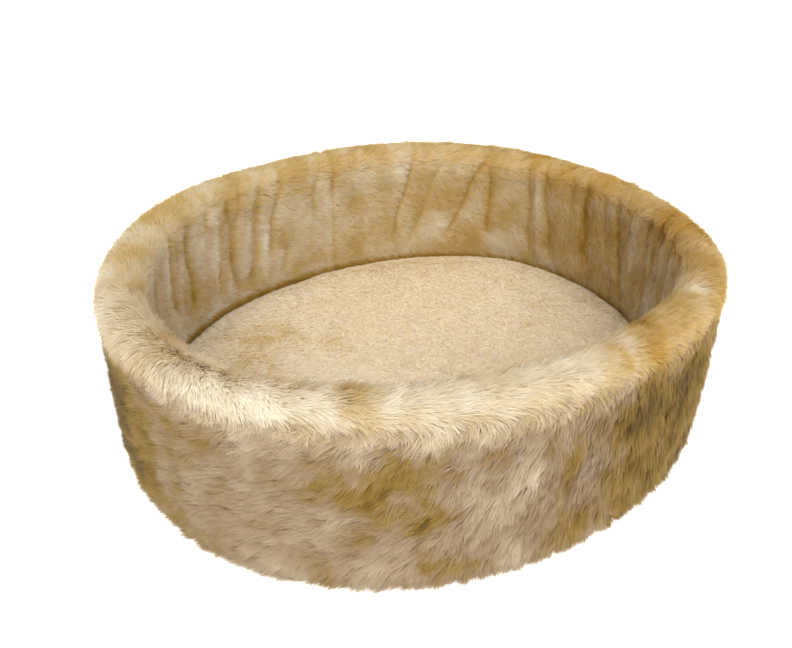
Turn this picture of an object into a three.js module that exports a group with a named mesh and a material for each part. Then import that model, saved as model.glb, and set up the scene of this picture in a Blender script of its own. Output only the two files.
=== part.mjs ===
// Plush pet bed: a low wall of plush-covered foam round a loose filled cushion.
// Millimetres, +Z up. The origin is the middle of the footprint on the floor, and +X is the
// long way of the bed. Every size is taken over the pile, so the solids reach its tips.
import * as THREE from 'three';

const { degToRad, lerp, smoothstep } = THREE.MathUtils;

// Driving sizes
const LENGTH = 600;
const WIDTH = 518.8;
const SQUARENESS = 2.2; // 2 is an ellipse, and more is squarer
const WALL_HEIGHT = 171.3;
const WALL_THICKNESS = 40.5;
const RIM_RADIUS = 17; // rounding on each side of the rim, with a short flat between
const FOOT_TUCK = 8.8; // how far the outside rolls under at the floor
const FOOT_ROLL = 25; // height at which that roll begins
const INNER_TUCK = 3; // the same at the inside
const CUSHION_GAP = 0.3; // between the cushion's side and the wall
const CUSHION_EDGE = 40; // height at which the cushion's top meets the wall
const CUSHION_CROWN = 47; // height of the cushion's middle
const CUSHION_ROLL = 9; // how far the cushion's top edge draws in
const CUSHION_SIDE_TOP = 29; // its side is upright between these heights
const CUSHION_SIDE_FOOT = 10;
const CUSHION_TUCK = 7; // how far its lower edge draws in

// Steps round each piece. The gathered inside of the wall takes two for each one outside.
const WALL_STEPS = 150;
const CUSHION_STEPS = 96;
const INNER_LEVELS = 8; // up the inner wall
const ARC_ANGLES = [0, 30, 60, 90]; // degrees, along a rounded edge

// The sewn outline is uneven. Each wave has its number of lobes, its size (mm) and the
// direction (degrees) in which one of its lobes points.
const OUTLINE_WAVES = [
  { lobes: 3, size: 2.2, toward: 19 },
  { lobes: 4, size: 3.2, toward: 10 },
];
// These push the wall outwards more and more towards the rim
const LEAN_WAVES = [
  { lobes: 1, size: 0.8, toward: 16 },
  { lobes: 2, size: 1.1, toward: 26 },
  { lobes: 3, size: 1.3, toward: 54 },
];
// These raise and lower the rim: it dips at the two narrow ends
const RIM_WAVES = [
  { lobes: 1, size: 2.3, toward: 104 },
  { lobes: 2, size: 4.8, toward: 83 },
];

// Turns a table's rows into objects with its columns' names
function table(columns, rows) {
  return rows.map((row) => Object.fromEntries(row.map((value, place) => [columns[place], value])));
}

// Main gathers of the inner wall. The angles are degrees round the bed at the rim and at the
// cushion, top and foot are heights, a negative depth is a ridge, width is half the fold's
// width, and nick is the share of the depth that runs on over the rim. Sizes in mm.
const GATHERS = table(['rimAngle', 'footAngle', 'top', 'foot', 'depth', 'width', 'nick'], [
  // The back, left of the seam, to the narrow left end
  [84.0, 86.5, 165, 105, 3.5, 7, 0.3],
  [92.1, 96.8, 165, 78, 5, 7, 0.4],
  [97.3, 101.0, 162, 50, 4.5, 9, 0.2],
  [103.8, 104.5, 165, 114, 3.5, 7, 0.4],
  [107.0, 105.5, 158, 50, 5, 8, 0.1],
  [112.0, 113.0, 150, 62, -4, 8, 0],
  [122.7, 120.4, 155, 60, 6, 11, 0.2],
  [125.0, 130.0, 125, 82, -3, 8, 0],
  [131.0, 130.0, 162, 74, 4.5, 8, 0.3],
  [132.4, 141.0, 140, 92, -3.5, 8, 0],
  [143.0, 143.5, 150, 80, 4, 9, 0.2],
  // The right half of the back, to the narrow right end
  [79.9, 80.4, 158, 126, 4, 7, 0.2],
  [55.9, 63.9, 165, 62, 5, 8, 0.5],
  [46.8, 58.5, 160, 56, 3, 8, 0.2],
  [33.5, 47.2, 163, 64, 6, 8, 0.4],
  [31.8, 31.8, 155, 64, 4.5, 8, 0.1],
  [19.6, 17.0, 165, 46, 7, 7, 0.4],
  [15.2, 9.3, 165, 57, 7, 7, 0.4],
  [5.2, 6.0, 168, 130, 4, 8, 0.5],
  [1.3, -0.8, 158, 62, 6, 10, 0.1],
  [-7.5, -15.8, 155, 50, 6, 8, 0.2],
  [-17.8, -18.2, 150, 62, -4, 8, 0],
  [-23.5, -28.0, 155, 54, 6.5, 8, 0.2],
  [-29.0, -31.0, 165, 112, 7, 8, 0.4],
  [-37.0, -35.0, 160, 77, -4.5, 8, 0.1],
  [-39.5, -44.0, 160, 77, 6, 8, 0.3],
  // The front
  [-52.0, -50.0, 162, 70, 5, 8, 0.2],
  [-61.0, -64.0, 158, 62, 4.5, 9, 0.2],
  [-77.0, -75.0, 163, 60, 4, 8, 0.3],
  [-89.0, -92.0, 160, 84, 3.5, 8, 0.2],
  [-103.0, -101.0, 162, 58, 4.5, 9, 0.2],
  [-118.0, -121.0, 158, 76, 3.5, 8, 0.2],
  [-131.0, -128.0, 163, 62, 5, 8, 0.3],
  [-151.0, -149.0, 160, 56, 5, 8, 0.2],
  [-163.0, -166.0, 163, 68, 5, 8, 0.4],
  [180.0, 178.0, 160, 58, 5.5, 9, 0.2],
  [161.0, 159.0, 162, 60, 5, 8, 0.3],
  [151.0, 153.0, 158, 90, 3.5, 8, 0.1],
]);
const GATHER_FADE = 11; // how softly a gather ends above and below
const GATHER_FLOOR = 33; // no gather reaches lower, where the cushion fills the wall
const GATHER_FULL = 56; // and from here up nothing holds it flat

// Slack in the outside of the wall: broad soft hollows (swells are negative), each at an angle
// (degrees), with its middle height, depth, half width and half height (mm)
const SLACK = table(['angle', 'middle', 'depth', 'width', 'height'], [
  [-178, 75, 3, 26, 60],
  [170, 90, -2, 30, 50],
  [-160, 60, -2.5, 32, 50],
  [-146, 80, 2, 24, 55],
  [-122, 70, -2, 45, 45],
  [-98, 62, 2, 36, 45],
  [-70, 85, -2, 40, 50],
  [-42, 66, 2.5, 28, 55],
  [-20, 80, -2.5, 30, 55],
  [2, 72, 2.5, 26, 60],
  [30, 80, -2, 40, 50],
  [62, 66, 2, 34, 50],
  [104, 84, -2, 42, 50],
  [140, 64, 2.5, 30, 55],
]);

// The seam that closes the wall's cover runs over the rim at the back
const SEAM_ANGLE = 80;
const SEAM_DEPTH = 1.8;
const SEAM_HALF_WIDTH = 4;
const SEAM_STEP = 1.1; // degrees from its middle to the steps on each side of it

// Soft dents of the cushion's top (swells are negative): place, depth and radius
const CUSHION_DENTS = table(['x', 'y', 'depth', 'radius'], [
  [-150, -40, 1.8, 60],
  [-90, 70, -1.2, 55],
  [-20, -90, -1.4, 60],
  [60, 10, 1.6, 70],
  [130, 90, 1.2, 50],
  [150, -60, -1.2, 60],
]);

// Sum of a list of waves in the direction that a place faces
function waves(rows, facing) {
  return rows.reduce((sum, { lobes, size, toward }) => (
    sum + size * Math.cos(lobes * (facing - degToRad(toward)))
  ), 0);
}

// A place `turn` radians round the wall, `offset` outside its plan line, at `share` of its
// height. The plan line is a superellipse; the offset is square to it.
function planPlace(turn, offset, share) {
  const power = 2 / SQUARENESS;
  const cos = Math.cos(turn);
  const sin = Math.sin(turn);
  const x = (LENGTH / 2) * Math.sign(cos) * Math.abs(cos) ** power;
  const y = (WIDTH / 2) * Math.sign(sin) * Math.abs(sin) ** power;
  const slopeX = Math.sign(cos) * Math.abs(cos) ** (2 - power) / LENGTH;
  const slopeY = Math.sign(sin) * Math.abs(sin) ** (2 - power) / WIDTH;
  const facing = Math.atan2(slopeY, slopeX);
  const out = offset + waves(OUTLINE_WAVES, facing) + share * waves(LEAN_WAVES, facing);
  return {
    x: x + out * Math.cos(facing),
    y: y + out * Math.sin(facing),
    lift: share * waves(RIM_WAVES, facing),
  };
}

// How far the gathers press in at a place on the inner wall
function gatherDepth(turn, height) {
  const here = planPlace(turn, -WALL_THICKNESS, 0);
  const down = (WALL_HEIGHT - height) / (WALL_HEIGHT - CUSHION_EDGE);
  let depth = 0;
  for (const gather of GATHERS) {
    const angle = degToRad(lerp(gather.rimAngle, gather.footAngle, down));
    const middle = planPlace(angle, -WALL_THICKNESS, 0);
    const across = Math.hypot(here.x - middle.x, here.y - middle.y) / gather.width;
    const below = smoothstep(height, gather.foot - GATHER_FADE, gather.foot + GATHER_FADE);
    const above = smoothstep(height, gather.top - GATHER_FADE, gather.top + GATHER_FADE);
    depth += gather.depth * below * lerp(1, gather.nick, above) / (1 + across * across) ** 2;
  }
  return depth;
}

// How far the slack presses in at a place on the outside
function slackDepth(turn, height) {
  const here = planPlace(turn, 0, 0);
  let depth = 0;
  for (const slack of SLACK) {
    const middle = planPlace(degToRad(slack.angle), 0, 0);
    const across = Math.hypot(here.x - middle.x, here.y - middle.y) / slack.width;
    const up = (height - slack.middle) / slack.height;
    depth += slack.depth * Math.exp(-across * across - up * up);
  }
  return depth;
}

// How far the seam's groove presses in
function seamDepth(turn) {
  const here = planPlace(turn, 0, 0);
  const seam = planPlace(degToRad(SEAM_ANGLE), 0, 0);
  const across = Math.hypot(here.x - seam.x, here.y - seam.y) / SEAM_HALF_WIDTH;
  return SEAM_DEPTH * Math.exp(-across * across);
}

// The wall's cross section, from the outer foot up over the rim and down the inside
function wallSection() {
  const shoulder = WALL_HEIGHT - RIM_RADIUS;
  const outer = [
    [-FOOT_TUCK, 0],
    [-FOOT_TUCK / 3, FOOT_ROLL / 3],
    [0, FOOT_ROLL],
    [0, lerp(FOOT_ROLL, shoulder, 1 / 3)],
    [0, lerp(FOOT_ROLL, shoulder, 2 / 3)],
  ];
  const outerRim = ARC_ANGLES.map((degrees) => [
    RIM_RADIUS * (Math.cos(degToRad(degrees)) - 1),
    shoulder + RIM_RADIUS * Math.sin(degToRad(degrees)),
  ]);
  const innerRim = outerRim.map(([offset, height]) => [-WALL_THICKNESS - offset, height]).reverse();
  const inner = Array.from({ length: INNER_LEVELS - 1 }, (_, level) => (
    [-WALL_THICKNESS, lerp(shoulder, GATHER_FLOOR, (level + 1) / INNER_LEVELS)]
  ));
  const innerFoot = [
    [-WALL_THICKNESS, GATHER_FLOOR],
    [-WALL_THICKNESS + INNER_TUCK, 0],
  ];
  return [...outer, ...outerRim, ...innerRim, ...inner, ...innerFoot];
}

// The direction in which a closed section faces at one of its points
function sectionFacing(section, place) {
  const [offsetBefore, heightBefore] = section[(place + section.length - 1) % section.length];
  const [offsetAfter, heightAfter] = section[(place + 1) % section.length];
  const facing = new THREE.Vector2(heightAfter - heightBefore, offsetBefore - offsetAfter);
  return facing.normalize();
}

// The wall's point at a turn round the bed and a place on its section
function wallPoint(turn, section, place) {
  const [offset, height] = section[place];
  const facing = sectionFacing(section, place);
  const inside = offset < -WALL_THICKNESS / 2;
  const free = inside
    ? smoothstep(height, GATHER_FLOOR, GATHER_FULL)
    : smoothstep(height, 0, FOOT_ROLL);
  const folds = inside ? gatherDepth(turn, height) : slackDepth(turn, height);
  const depth = free * (folds + seamDepth(turn));
  const { x, y, lift } = planPlace(turn, offset - depth * facing.x, height / WALL_HEIGHT);
  return [x, y, height + lift - depth * facing.y];
}

// Joins one closed ring of points to the next. The second may have half or twice as many.
function joinRings(indices, first, second) {
  const steps = Math.min(first.count, second.count);
  const firstPace = first.count / steps;
  const secondPace = second.count / steps;
  for (let step = 0; step < steps; step += 1) {
    const at = (ring, pace, extra) => ring.start + (step * pace + extra) % ring.count;
    const a = at(first, firstPace, 0);
    const b = at(first, firstPace, firstPace);
    const c = at(second, secondPace, 0);
    const d = at(second, secondPace, secondPace);
    if (firstPace === 2) {
      const half = at(first, firstPace, 1);
      indices.push(a, half, c, half, d, c, half, b, d);
    } else if (secondPace === 2) {
      const half = at(second, secondPace, 1);
      indices.push(a, half, c, a, b, half, b, d, half);
    } else {
      indices.push(a, b, d, a, d, c);
    }
  }
}

function geometryFrom(points, indices) {
  const geometry = new THREE.BufferGeometry();
  geometry.setAttribute('position', new THREE.Float32BufferAttribute(points.flat(), 3));
  geometry.setIndex(indices);
  geometry.computeVertexNormals();
  return geometry;
}

// The wall: a ring of points round the bed for each point of its section
function wallGeometry() {
  const even = Array.from({ length: WALL_STEPS }, (_, step) => 360 * step / WALL_STEPS);
  const clear = even.filter((angle) => Math.abs(angle - SEAM_ANGLE) > SEAM_STEP);
  const atSeam = [SEAM_ANGLE - SEAM_STEP, SEAM_ANGLE, SEAM_ANGLE + SEAM_STEP];
  const coarse = [...clear, ...atSeam].sort((one, other) => one - other);
  const fine = coarse.flatMap((angle, step) => (
    [angle, (angle + (coarse[step + 1] ?? 360 + coarse[0])) / 2]
  ));
  const section = wallSection();
  const points = [];
  const rings = section.map(([offset], place) => {
    const angles = offset < -WALL_THICKNESS / 2 ? fine : coarse;
    const start = points.length;
    points.push(...angles.map((angle) => wallPoint(degToRad(angle), section, place)));
    return { start, count: angles.length };
  });
  const indices = [];
  rings.forEach((ring, place) => joinRings(indices, ring, rings[(place + 1) % rings.length]));
  return geometryFrom(points, indices);
}

// Height of the cushion's top at a place, `share` of the way from its middle to its edge
function cushionTop(x, y, share) {
  const crown = (CUSHION_CROWN - CUSHION_EDGE) * (1 - share * share);
  const dents = CUSHION_DENTS.reduce((sum, dent) => {
    const away = Math.hypot(x - dent.x, y - dent.y) / dent.radius;
    return sum + dent.depth * Math.exp(-away * away);
  }, 0);
  return CUSHION_EDGE + crown - dents * (1 - share ** 4);
}

// The cushion: rings from its flat underside up its side and in over its crown
function cushionGeometry() {
  const tuck = [
    [-CUSHION_TUCK, 0],
    [-CUSHION_TUCK / 4, CUSHION_SIDE_FOOT / 3],
    [0, CUSHION_SIDE_FOOT],
  ];
  const roll = ARC_ANGLES.map((degrees) => [
    CUSHION_ROLL * (Math.cos(degToRad(degrees)) - 1),
    lerp(CUSHION_SIDE_TOP, CUSHION_EDGE, Math.sin(degToRad(degrees))),
  ]);
  const crownShares = [0.86, 0.7, 0.53, 0.36, 0.18];
  const edge = -WALL_THICKNESS - CUSHION_GAP;
  const turns = Array.from({ length: CUSHION_STEPS }, (_, step) => (
    2 * Math.PI * step / CUSHION_STEPS
  ));
  const sideRings = [...tuck, ...roll].map(([offset, height]) => turns.map((turn) => {
    const { x, y } = planPlace(turn, edge + offset, 0);
    return [x, y, height];
  }));
  const crownRings = crownShares.map((share) => turns.map((turn) => {
    const { x, y } = planPlace(turn, edge - CUSHION_ROLL, 0);
    return [x * share, y * share, cushionTop(x * share, y * share, share)];
  }));
  const points = [...sideRings, ...crownRings].flat();
  const rings = [...sideRings, ...crownRings].map((_, ring) => (
    { start: ring * CUSHION_STEPS, count: CUSHION_STEPS }
  ));
  const indices = [];
  rings.slice(1).forEach((ring, place) => joinRings(indices, rings[place], ring));
  const under = points.push([0, 0, 0]) - 1;
  const crown = points.push([0, 0, cushionTop(0, 0, 0)]) - 1;
  const last = rings.at(-1).start;
  turns.forEach((_, place) => {
    const next = (place + 1) % CUSHION_STEPS;
    indices.push(under, next, place);
    indices.push(crown, last + place, last + next);
  });
  return geometryFrom(points, indices);
}

// Longer curled plush in tan and cream on the wall, short shorn plush in cream on the cushion
const wallPlush = new THREE.MeshStandardMaterial({ color: 0xbfa77c, roughness: 0.95, metalness: 0 });
const cushionPlush = new THREE.MeshStandardMaterial({ color: 0xe3d0aa, roughness: 0.9, metalness: 0 });

const wall = new THREE.Mesh(wallGeometry(), wallPlush);
wall.name = 'wall';

const cushion = new THREE.Mesh(cushionGeometry(), cushionPlush);
cushion.name = 'base_cushion';

// The waves shift the outline a little, so both pieces move until its middle is the origin
wall.geometry.computeBoundingBox();
const middle = wall.geometry.boundingBox.getCenter(new THREE.Vector3());
[wall, cushion].forEach((piece) => piece.geometry.translate(-middle.x, -middle.y, 0));

const bed = new THREE.Group();
bed.name = 'plush_pet_bed';
bed.add(wall, cushion);

export default bed;
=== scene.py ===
"""Plush pet bed, dressed: a padded wall and a loose cushion under real plush pile.

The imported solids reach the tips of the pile. Each one is replaced by a cover that lies as deep
inside it as its pile is high, and the pile stands on that cover as small bent strands.
Lengths in the tables are millimetres, and every Blender object is in metres.
"""

import logging
import math
from dataclasses import dataclass, field
from enum import Enum

import bpy
import numpy as np
from mathutils import Matrix, Vector


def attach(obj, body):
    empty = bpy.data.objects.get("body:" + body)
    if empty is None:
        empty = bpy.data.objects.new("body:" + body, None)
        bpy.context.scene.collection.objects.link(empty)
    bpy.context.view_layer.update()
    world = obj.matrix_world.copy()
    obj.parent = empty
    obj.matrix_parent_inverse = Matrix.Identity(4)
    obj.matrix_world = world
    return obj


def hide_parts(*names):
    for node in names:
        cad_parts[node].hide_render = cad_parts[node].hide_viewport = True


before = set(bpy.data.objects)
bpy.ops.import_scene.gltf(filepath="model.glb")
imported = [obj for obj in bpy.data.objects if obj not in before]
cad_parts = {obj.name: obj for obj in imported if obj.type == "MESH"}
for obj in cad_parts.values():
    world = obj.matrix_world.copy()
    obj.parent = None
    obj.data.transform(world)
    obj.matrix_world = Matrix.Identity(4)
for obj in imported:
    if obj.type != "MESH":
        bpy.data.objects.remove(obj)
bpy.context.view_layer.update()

logging.basicConfig(level=logging.INFO, format="%(message)s")
log = logging.getLogger("pet_bed")

MM = 0.001
BODY = "root"
BAKE_MAP = "OFBake"  # across it lies a strand's shade, up it the way from root to tip


@dataclass(frozen=True)
class Wave:
    """One wave of a sewn outline: its lobes, its size (mm) and where a lobe points (degrees)."""

    lobes: int
    size: float
    toward: float


@dataclass(frozen=True)
class Gather:
    """One gather of the inner wall. Its angles (degrees) are at the rim and at the cushion, a
    negative depth is a ridge, and nick is the share of the depth that runs on over the rim."""

    rim_angle: float
    foot_angle: float
    top: float
    foot: float
    depth: float
    width: float
    nick: float


@dataclass(frozen=True)
class Slack:
    """One broad soft hollow in the outside of the wall, a swell if its depth is negative."""

    angle: float
    middle: float
    depth: float
    width: float
    height: float


@dataclass(frozen=True)
class Dent:
    """One soft dent of the cushion's top, a swell if its depth is negative."""

    x: float
    y: float
    depth: float
    radius: float


@dataclass(frozen=True)
class Brushed:
    """One patch where the pile was stroked or pressed another way: it lies at an angle round
    the bed and a height, turns the pile (degrees), and shows more of the roots (tone)."""

    angle: float
    middle: float
    width: float
    height: float
    tone: float
    turn: float


OUTLINE_WAVES = (Wave(3, 2.2, 19), Wave(4, 3.2, 10))
LEAN_WAVES = (Wave(1, 0.8, 16), Wave(2, 1.1, 26), Wave(3, 1.3, 54))
RIM_WAVES = (Wave(1, 2.3, 104), Wave(2, 4.8, 83))

# Columns: rim_angle, foot_angle, top, foot, depth, width, nick
GATHERS = tuple(Gather(*row) for row in (
    # The back, left of the seam, to the narrow left end
    (84.0, 86.5, 165, 105, 3.5, 4.5, 0.3),
    (92.1, 96.8, 165, 78, 5, 5.5, 0.4),
    (87.0, 93.4, 85, 46, 2.5, 6, 0),
    (95.0, 98.0, 100, 46, -2.5, 7, 0),
    (97.3, 101.0, 162, 50, 4.5, 9, 0.2),
    (101.0, 103.7, 115, 62, -2.5, 8, 0),
    (103.8, 104.5, 165, 114, 3.5, 4.5, 0.4),
    (107.0, 105.5, 158, 50, 5, 8, 0.1),
    (110.0, 108.0, 85, 46, -3, 5, 0),
    (107.0, 113.0, 90, 56, 3, 5, 0),
    (112.0, 113.0, 150, 62, -4, 7, 0),
    (114.5, 113.0, 168, 137, 3.5, 4.5, 0.5),
    (122.7, 120.4, 155, 60, 6, 11, 0.2),
    (125.0, 130.0, 125, 82, -3, 6, 0),
    (131.0, 130.0, 162, 74, 4.5, 6, 0.3),
    (132.4, 141.0, 140, 92, -3.5, 8, 0),
    (143.0, 143.5, 150, 80, 4, 9, 0.2),
    # The right half of the back, to the narrow right end
    (79.9, 80.4, 158, 126, 4, 4.5, 0.2),
    (55.9, 63.9, 165, 62, 5, 5.5, 0.5),
    (46.8, 58.5, 160, 56, 3, 5.5, 0.2),
    (33.5, 47.2, 163, 64, 6, 6.5, 0.4),
    (31.8, 31.8, 155, 64, 4.5, 7, 0.1),
    (19.6, 17.0, 165, 46, 4.2, 6.5, 0.2),
    (17.5, 13.6, 158, 50, -2.5, 5, 0.1),
    (15.2, 9.3, 165, 57, 4.2, 6.5, 0.2),
    (5.2, 6.0, 168, 130, 4, 7, 0.5),
    (1.3, -0.8, 158, 62, 6, 10, 0.1),
    (-2.8, -10.4, 155, 100, 3.5, 6, 0.1),
    (-7.5, -15.8, 155, 50, 6, 7, 0.2),
    (-17.8, -18.2, 150, 62, -4, 6, 0),
    (-23.5, -28.0, 155, 54, 6.5, 7, 0.2),
    (-26.0, -28.0, 145, 102, -4, 5, 0),
    (-29.0, -31.0, 165, 112, 7, 7, 0.4),
    (-37.0, -35.0, 160, 77, -4.5, 6, 0.1),
    (-39.5, -44.0, 160, 77, 6, 7, 0.3),
    (-46.0, -46.0, 158, 95, -4, 6, 0.1),
    # The front
    (-52.0, -50.0, 162, 70, 5, 7, 0.2),
    (-61.0, -64.0, 158, 62, 4.5, 8, 0.2),
    (-70.0, -68.0, 150, 88, -3, 7, 0),
    (-77.0, -75.0, 163, 60, 4, 7, 0.3),
    (-89.0, -92.0, 160, 84, 3.5, 6, 0.2),
    (-103.0, -101.0, 162, 58, 4.5, 8, 0.2),
    (-118.0, -121.0, 158, 76, 3.5, 6, 0.2),
    (-131.0, -128.0, 163, 62, 5, 7, 0.3),
    (-142.0, -144.0, 150, 80, -3.5, 7, 0),
    (-151.0, -149.0, 160, 56, 5, 7, 0.2),
    (-163.0, -166.0, 163, 68, 5, 6, 0.4),
    (-172.0, -170.0, 155, 74, -3.5, 7, 0),
    (180.0, 178.0, 160, 58, 5.5, 9, 0.2),
    (168.0, 171.0, 155, 84, -3.5, 7, 0),
    (161.0, 159.0, 162, 60, 5, 7, 0.3),
    (151.0, 153.0, 158, 90, 3.5, 6, 0.1),
))

# Columns: angle, middle, depth, width, height
SLACKS = tuple(Slack(*row) for row in (
    (-178, 75, 3, 26, 60),
    (170, 90, -2, 30, 50),
    (-160, 60, -2.5, 32, 50),
    (-146, 80, 2, 24, 55),
    (-122, 70, -2, 45, 45),
    (-98, 62, 2, 36, 45),
    (-70, 85, -2, 40, 50),
    (-42, 66, 2.5, 28, 55),
    (-20, 80, -2.5, 30, 55),
    (2, 72, 2.5, 26, 60),
    (30, 80, -2, 40, 50),
    (62, 66, 2, 34, 50),
    (104, 84, -2, 42, 50),
    (140, 64, 2.5, 30, 55),
))

# Columns: x, y, depth, radius
DENTS = tuple(Dent(*row) for row in (
    (-150, -40, 1.8, 60),
    (-90, 70, -1.2, 55),
    (-20, -90, -1.4, 60),
    (60, 10, 1.6, 70),
    (130, 90, 1.2, 50),
    (150, -60, -1.2, 60),
))

# Where the pile lies, in degrees from straight down the wall towards greater angles round the
# bed. On the rim it is measured from straight outwards. Columns: angle round the bed, lay.
FRINGE_LAY = ((-180, -60), (-140, -50), (-115, -15), (-90, 10), (-60, 25), (-20, 10),
              (60, -15), (130, -40))
OUTER_LAY = ((-180, -78), (-145, -80), (-135, -70), (-120, -50), (-100, -45), (-80, -35),
             (-60, -30), (-30, -25), (0, -30), (60, -40), (120, -60), (150, -72))
RIM_LAY = ((-180, 30), (-150, 72), (-120, 80), (-95, 66), (-75, 30), (-50, -10), (-30, -40),
           (0, -58), (40, -72), (90, -80), (130, -60), (160, -15))
INNER_LAY = ((-180, 20), (-150, 64), (-120, 74), (-90, 60), (-62, 10), (-40, -15), (-20, -22),
             (0, -28), (20, -55), (50, -62), (80, -78), (110, -75), (140, -55), (165, -25))

# How far the pile of the rim stands up. Columns: angle round the bed, share.
RIM_FLUFF = ((-180, 0.3), (-160, 0.0), (95, 0.0), (110, 0.6), (130, 1.0), (160, 0.8))

# How far the plush is brushed up, from 0 (matted, the roots show) to 1 (only pale tips show).
# Columns: angle round the bed, tone.
FRINGE_TONE = ((-180, 0.38), (-165, 0.48), (-150, 0.54), (-110, 0.5), (-90, 0.25), (-60, 0.22),
               (0, 0.4), (120, 0.42), (165, 0.2))
OUTER_TONE = ((-178, 0.34), (-170, 0.44), (-160, 0.5), (-130, 0.53), (-112, 0.58),
              (-100, 0.44), (-88, 0.22), (-72, 0.22), (-55, 0.35), (-30, 0.42), (60, 0.45),
              (140, 0.4), (156, 0.22), (163, 0.04), (176, 0.04))
SHOULDER_TONE = ((-180, 0.48), (-165, 0.6), (-130, 0.68), (-104, 0.62), (-95, 0.45),
                 (-86, 0.3), (-60, 0.28), (0, 0.42), (60, 0.45), (120, 0.5), (168, 0.45))
RIM_TONE = ((-160, 0.74), (-135, 0.76), (-110, 0.73), (-97, 0.66), (-85, 0.5), (-60, 0.44),
            (-30, 0.4), (0, 0.42), (40, 0.48), (70, 0.5), (110, 0.54), (150, 0.6),
            (175, 0.72))
INNER_TONE = ((-170, 0.66), (-100, 0.6), (-50, 0.54), (-38, 0.51), (-30, 0.53), (-15, 0.53),
              (0, 0.53), (20, 0.54), (45, 0.56), (80, 0.6), (110, 0.64), (150, 0.68))

# Columns: angle, middle, width, height, tone, turn
OUTER_BRUSHED = tuple(Brushed(*row) for row in (
    (169, 42, 12, 44, -0.16, 0),
    (175, 92, 6, 40, -0.12, 0),
    (-178, 60, 5, 50, -0.16, 0),
    (-172, 128, 16, 12, -0.2, 10),
    (-171, 60, 6, 34, -0.1, 0),
    (-164, 112, 12, 14, -0.14, 0),
    (-150, 64, 60, 34, 0.03, -6),
    (-133, 106, 46, 34, -0.11, 0),
    (-139, 124, 28, 14, -0.16, 15),
    (-138, 98, 28, 15, -0.2, 20),
    (-127, 82, 26, 18, -0.22, 15),
    (-126, 118, 26, 16, -0.12, 10),
    (-126, 48, 9, 30, -0.2, 10),
    (-120, 27, 34, 10, -0.2, 10),
    (-116, 128, 16, 10, -0.2, 0),
    (-114, 76, 16, 34, 0.08, 0),
    (-107, 124, 8, 14, -0.22, 0),
    (-103, 80, 7, 50, -0.1, 0),
    (-100, 30, 20, 12, -0.2, 10),
    (-91, 114, 26, 22, -0.15, -12),
    (-82, 60, 34, 44, -0.04, -10),
    (-80, 118, 20, 18, -0.08, 0),
    (-92, 78, 8, 12, 0.16, 0),
    (-83, 58, 7, 16, 0.2, 0),
    (-52, 110, 30, 22, -0.14, 15),
    (-20, 60, 36, 26, -0.15, -15),
    (12, 110, 24, 22, -0.14, 20),
    (48, 70, 34, 24, -0.14, -15),
    (86, 110, 30, 18, -0.13, 15),
    (118, 60, 36, 26, -0.15, -15),
    (148, 105, 24, 22, -0.13, 10),
))
# Here the middle is how far in on the rim, and the height how far it reaches across
RIM_BRUSHED = tuple(Brushed(*row) for row in (
    (-163, -16, 26, 14, 0.06, 0),
    (-150, -12, 26, 16, 0.1, 0),
    (-140, -5, 9, 12, -0.05, 6),
    (-131, -4, 8, 10, -0.05, 0),
    (-119, -4, 12, 10, 0.02, -10),
    (-109, -10, 8, 12, -0.04, 0),
    (-104, -27, 14, 10, 0.15, 0),
    (-97, -14, 9, 14, -0.18, 10),
    (-88, -34, 13, 9, -0.45, 0),
    (-92, -8, 15, 14, -0.2, 0),
    (-72, -26, 16, 10, 0.3, -20),
    (-40, -14, 30, 14, -0.12, 0),
    (-15, -24, 24, 12, 0.12, 15),
    (18, -20, 24, 14, -0.1, 0),
    (62, -22, 26, 12, 0.1, 0),
    (128, -20, 30, 14, -0.1, 10),
))
INNER_BRUSHED = tuple(Brushed(*row) for row in (
    (-150, 110, 26, 30, -0.15, 15),
    (-120, 80, 30, 26, -0.12, 0),
    (-85, 115, 26, 24, -0.16, -15),
    (-60, 80, 24, 30, -0.12, 0),
    (-34, 136, 22, 26, -0.05, 0),
    (-33, 82, 15, 28, 0.24, 10),
    (-16, 110, 18, 50, -0.06, 0),
    (-9, 120, 7, 34, -0.08, 0),
    (1, 100, 5, 48, -0.08, 0),
    (-5, 60, 24, 16, 0.06, 0),
    (8, 157, 46, 9, -0.14, 0),
    (25, 60, 30, 18, 0.06, 0),
    (104, 55, 14, 14, -0.12, 0),
    (122, 60, 18, 16, -0.18, 0),
    (128, 135, 6, 30, -0.12, 0),
    (138, 110, 10, 30, -0.12, 0),
    (165, 100, 22, 34, -0.1, 10),
))

# Places of the cushion where its pile is rubbed. Columns: x, y, depth of tone, radius
RUBBED = tuple(Dent(*row) for row in (
    (-120, 128, 0.26, 34),
    (-88, 112, 0.24, 22),
    (-152, 84, 0.3, 28),
    (-62, 62, 0.16, 24),
    (-160, 36, 0.22, 26),
    (-176, -10, 0.16, 24),
    (122, -39, 0.3, 5),
    (150, 128, 0.1, 40),
    (60, -120, 0.14, 40),
    (-60, -90, 0.12, 36),
))


def smoothstep(value: np.ndarray, low: float, high: float) -> np.ndarray:
    """Eases from 0 at low to 1 at high."""
    share = np.clip((value - low) / (high - low), 0.0, 1.0)
    return share * share * (3.0 - 2.0 * share)


def unit(vectors: np.ndarray) -> np.ndarray:
    """Scales vectors along the last axis to length 1."""
    return vectors / np.maximum(np.linalg.norm(vectors, axis=-1, keepdims=True), 1e-9)


def round_table(rows: tuple, turn: np.ndarray) -> np.ndarray:
    """Reads a table of angles round the bed, in degrees, at the turns given in radians.

    Args:
        rows: Pairs of an angle round the bed and a value.
        turn: Angles round the bed.

    Returns:
        The value at each turn, eased between the rows.
    """
    angles = np.array([row[0] for row in rows], float)
    values = np.array([row[1] for row in rows], float)
    return np.interp(np.degrees(turn), angles, values, period=360.0)


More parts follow.
